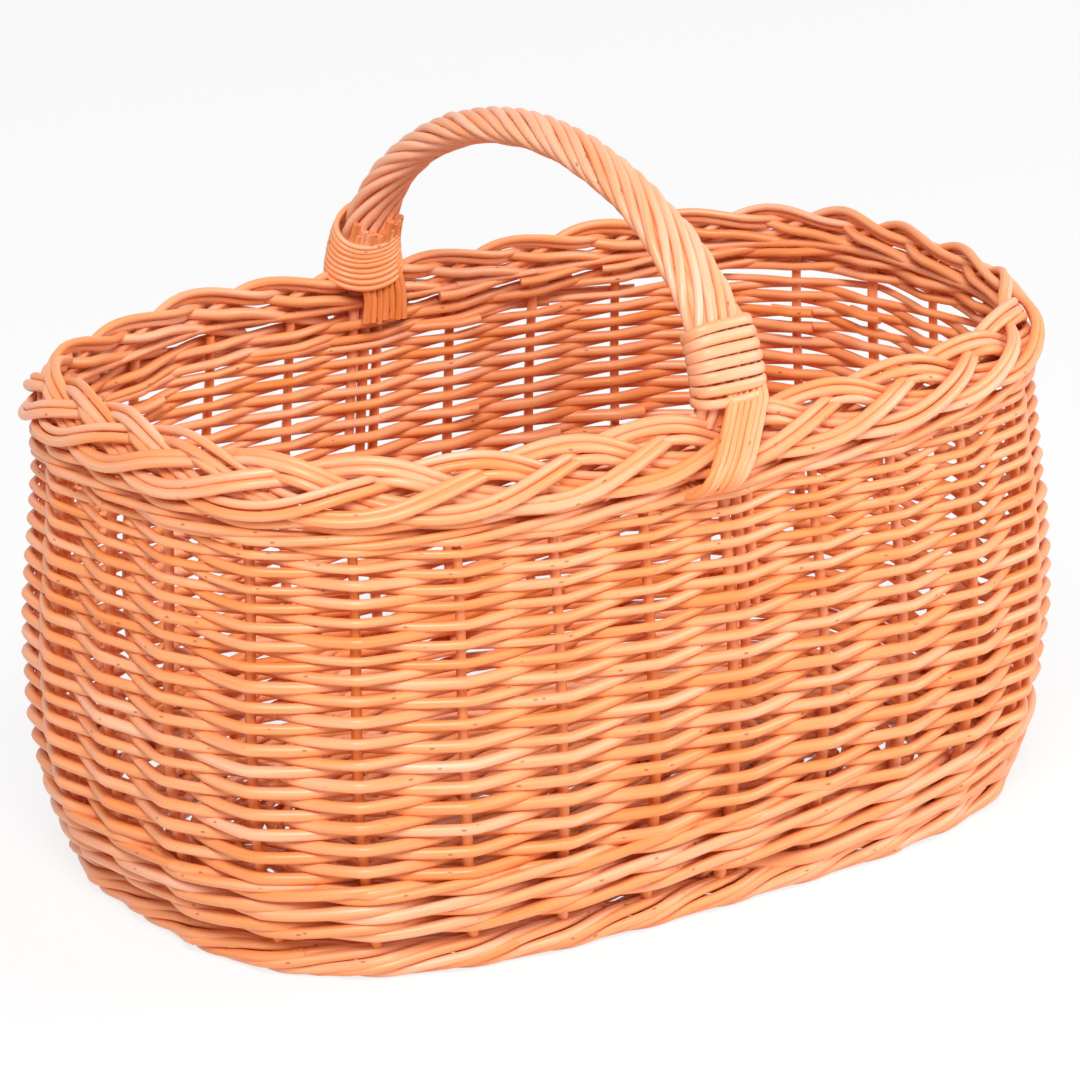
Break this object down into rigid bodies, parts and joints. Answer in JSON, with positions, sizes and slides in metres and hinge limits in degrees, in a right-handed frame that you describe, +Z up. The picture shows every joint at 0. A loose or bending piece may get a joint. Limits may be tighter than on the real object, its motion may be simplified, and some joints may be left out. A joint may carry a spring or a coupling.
{
  "type": "mushroom foraging basket",
  "caption": "Oval woven willow foraging basket with a plaited border, a foot border and a fixed arched handle lashed over the rim.",
  "frame": {"origin": "middle of the footprint, on the ground under the foot border", "axes": "+X along the long side of the oval, +Y across it towards the handle's back foot, +Z up"},
  "size_m": [0.4534, 0.3048, 0.3159],
  "materials": {
    "peeled_willow": "satin, peeled and steamed willow rods",
    "honey_willow": "satin, slightly darker steamed willow rods",
    "stick_willow": "matte, thick willow sticks",
    "split_skein": "satin, split willow skein"
  },
  "bodies": {
    "root": {"back_collar": "split_skein", "back_inner_lashing": "split_skein", "back_outer_lashing": "split_skein", "base_sticks": "stick_willow", "base_weaver": "peeled_willow", "foot_border": "honey_willow", "foot_waling": "honey_willow", "front_collar": "split_skein", "front_inner_lashing": "split_skein", "front_outer_lashing": "split_skein", "handle_bow": "stick_willow", "handle_wrap_1": "peeled_willow", "handle_wrap_2": "peeled_willow", "handle_wrap_3": "peeled_willow", "handle_wrap_4": "peeled_willow", "handle_wrap_5": "peeled_willow", "handle_wrap_6": "peeled_willow", "handle_wrap_7": "peeled_willow", "handle_wrap_8": "peeled_willow", "plaited_border": "honey_willow", "plaited_border_2": "honey_willow", "plaited_border_3": "honey_willow", "plaited_border_4": "honey_willow", "side_weaver_1": "peeled_willow", "side_weaver_2": "peeled_willow", "side_weaver_3": "peeled_willow", "side_weaver_4": "peeled_willow", "side_weaver_5": "peeled_willow", "side_weaver_6": "peeled_willow", "side_weaver_7": "peeled_willow", "stake_01": "stick_willow", "stake_02": "stick_willow", "stake_03": "stick_willow", "stake_04": "stick_willow", "stake_05": "stick_willow", "stake_06": "stick_willow", "stake_07": "stick_willow", "stake_08": "stick_willow", "stake_09": "stick_willow", "stake_10": "stick_willow", "stake_11": "stick_willow", "stake_12": "stick_willow", "stake_13": "stick_willow", "stake_14": "stick_willow", "stake_15": "stick_willow", "stake_16": "stick_willow", "stake_17": "stick_willow", "stake_18": "stick_willow", "stake_19": "stick_willow", "stake_20": "stick_willow", "stake_21": "stick_willow", "stake_22": "stick_willow", "stake_23": "stick_willow", "stake_24": "stick_willow", "stake_25": "stick_willow", "stake_26": "stick_willow", "stake_27": "stick_willow", "stake_28": "stick_willow", "top_waling": "honey_willow"}
  },
  "joints": []
}
